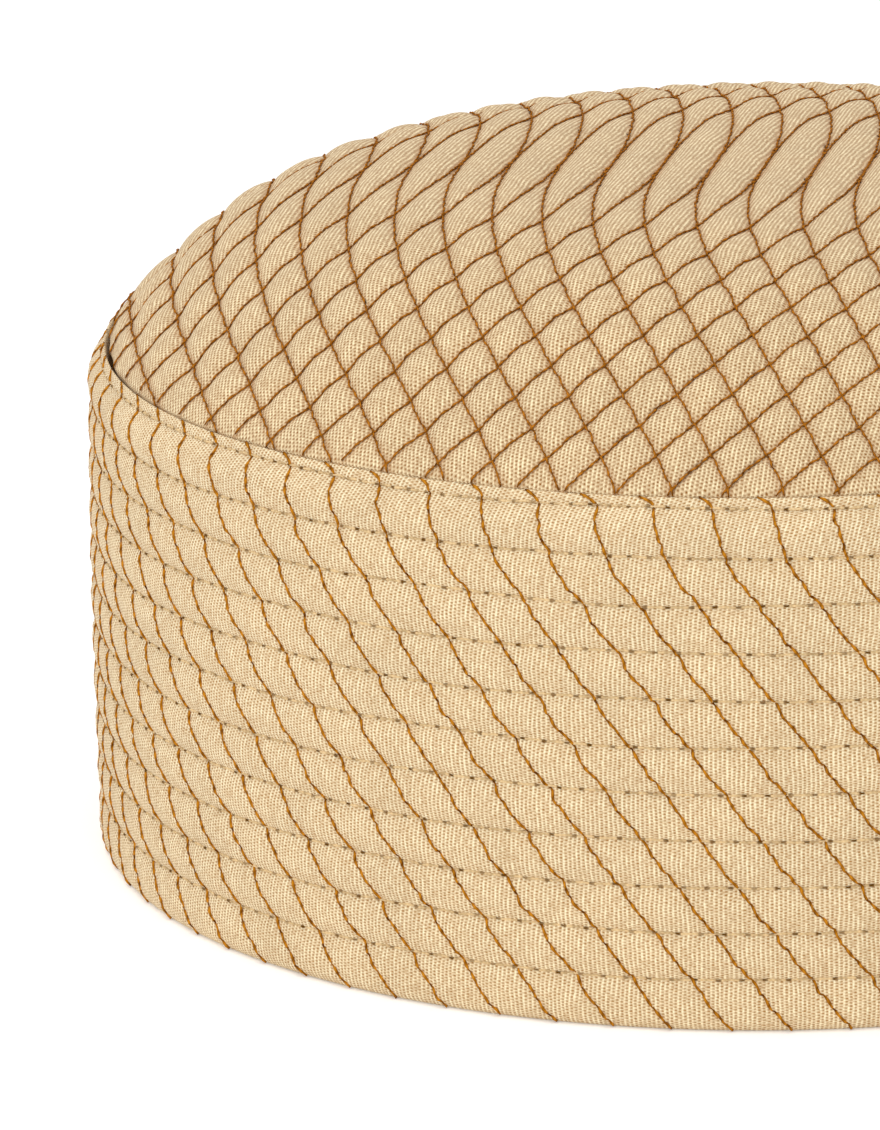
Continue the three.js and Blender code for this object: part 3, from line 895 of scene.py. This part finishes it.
# Brown of the painted shade between the plies and at the needle holes, and of random blotches
CROWN_SHADE_AND_BLOTCH = "#522A00"
CROWN_STITCH = 2.0
CROWN_THREAD_RADIUS = 0.14
CROWN_THREAD_RISE = 0.24  # of its middle over the crease, which the puffs would else cover
CROWN_STITCH_TURN = 0.09
CROWN_STRAY = 0.07
CROWN_SEED = 500
CROWN_SEED_STEP = 100  # from one family of lines to the other
MOST_LINES = 22  # to each side of the middle
LINE_POINTS = 900
LINE_REACH = 1.08  # along the strips, in parts of the cloth's radius
SEARCH_REACH = 1.3  # and across them
HALVINGS = 40
SEAM_OVERRUN = 0.2  # the lines run on by this much past the seam
SHORTEST_LINE = 8  # points


def quilt_lines(family):
    """Lines of one family on the flat cloth. For each place along the strips, the place across at
    which the family's number is whole is found by halving."""
    along = np.linspace(-LINE_REACH, LINE_REACH, LINE_POINTS)[None, :]
    wanted = np.arange(-MOST_LINES, MOST_LINES + 1)[:, None]
    low = np.full((len(wanted), along.shape[1]), -SEARCH_REACH)
    high = np.full_like(low, SEARCH_REACH)
    for _ in range(HALVINGS):
        across = (low + high) / 2
        below = quilt_numbers(across, along)[family] < wanted
        low = np.where(below, across, low)
        high = np.where(below, high, across)
    x = (math.cos(STRIP_LEAN) * low + math.sin(STRIP_LEAN) * along) * CLOTH_RADIUS
    y = (math.cos(STRIP_LEAN) * along - math.sin(STRIP_LEAN) * low) * CLOTH_RADIUS
    return x, y


def crown_lines(family):
    """Lines of points on the crown's face, in even steps, with the outward direction at each."""
    lines, ups = [], []
    for number, (x, y) in enumerate(zip(*quilt_lines(family))):
        inside = np.hypot(x, y) < CLOTH_RADIUS + SEAM_OVERRUN
        if inside.sum() < SHORTEST_LINE:
            continue
        flat = even_steps(np.stack([x[inside], y[inside]], -1), CROWN_STITCH / STITCH_RINGS)
        gone = CROWN_STITCH / STITCH_RINGS * np.arange(len(flat))
        ahead = np.gradient(flat, axis=0)
        ahead /= np.linalg.norm(ahead, axis=1, keepdims=True)
        aside = np.stack([-ahead[:, 1], ahead[:, 0]], -1)
        seed = CROWN_SEED + CROWN_SEED_STEP * family + number
        flat = flat + aside * (CROWN_STRAY * stray(gone, seed))[:, None]
        x, y = flat.T
        above = crown_point(x, y, 1 + 0 * x) - crown_point(x, y, 0 * x)
        lines.append(crown_point(x, y, quilt_floor(x, y)))
        ups.append(above)
    return lines, ups


# Cotton thread, matt and brown, with darker brown painted shade between its two plies and at its needle
# holes
brown_thread = twisted_thread(
    "brown sewing thread",
    CROWN_LIGHT,
    CROWN_SHADE_AND_BLOTCH,
    turns=2.0,
    ply_shade=0.48,
    hole=0.9,
    uneven=0.5,
    reach=0.8,
)
for family, name in enumerate(("crown_stitches_one_way", "crown_stitches_other_way")):
    lines, ups = crown_lines(family)
    stitches = sew(
        name,
        lines,
        ups,
        radius=CROWN_THREAD_RADIUS,
        rise=CROWN_THREAD_RISE,
        dip=THREAD_DIP,
        stitch=CROWN_STITCH,
        turned=CROWN_STITCH_TURN,
    )
    stitches.data.materials.append(brown_thread)
    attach(stitches, "root")


# A plain white floor that glows a little, as a light table does, and soft studio light: a pale
# room, with a wide cloth above and one in front.

FLOOR_SIZE = 6.0  # metres, as are the places and sizes of the lights
FLOOR_WHITE = "#F7F7F7"
FLOOR_GLOW = 0.15
ROOM_LIGHT = 0.84
CAP_MIDDLE = (0.0, 0.0, 0.05)

floor_mesh = bpy.data.meshes.new("floor")
corners = [(-1, -1), (1, -1), (1, 1), (-1, 1)]
floor_mesh.from_pydata([(x * FLOOR_SIZE / 2, y * FLOOR_SIZE / 2, 0) for x, y in corners], [], [(0, 1, 2, 3)])
floor = bpy.data.objects.new("floor", floor_mesh)
bpy.context.scene.collection.objects.link(floor)
paper = bpy.data.materials.new("white paper")
paper.use_nodes = True
matt_white = paper.node_tree.nodes["Principled BSDF"]
matt_white.inputs["Base Color"].default_value = linear(FLOOR_WHITE)
matt_white.inputs["Roughness"].default_value = 0.9
matt_white.inputs["Emission Color"].default_value = (1.0, 1.0, 1.0, 1.0)
matt_white.inputs["Emission Strength"].default_value = FLOOR_GLOW
floor_mesh.materials.append(paper)

world = bpy.data.worlds.new("pale room")
world.use_nodes = True
world.node_tree.nodes["Background"].inputs["Color"].default_value = (1.0, 1.0, 1.0, 1.0)
world.node_tree.nodes["Background"].inputs["Strength"].default_value = ROOM_LIGHT
bpy.context.scene.world = world


def soft_light(name, place, target, size, power):
    """Square area light at a place in metres, turned towards a target."""
    data = bpy.data.lights.new(name, "AREA")
    data.shape = "SQUARE"
    data.size = size
    data.energy = power
    made = bpy.data.objects.new(name, data)
    made.location = place
    made.rotation_euler = (Vector(target) - Vector(place)).to_track_quat("-Z", "Y").to_euler()
    bpy.context.scene.collection.objects.link(made)


soft_light("light above", place=(-0.3, -0.3, 1.5), target=CAP_MIDDLE, size=1.0, power=7.0)
soft_light("light in front", place=(-0.5, -1.6, 1.0), target=CAP_MIDDLE, size=0.8, power=7.0)
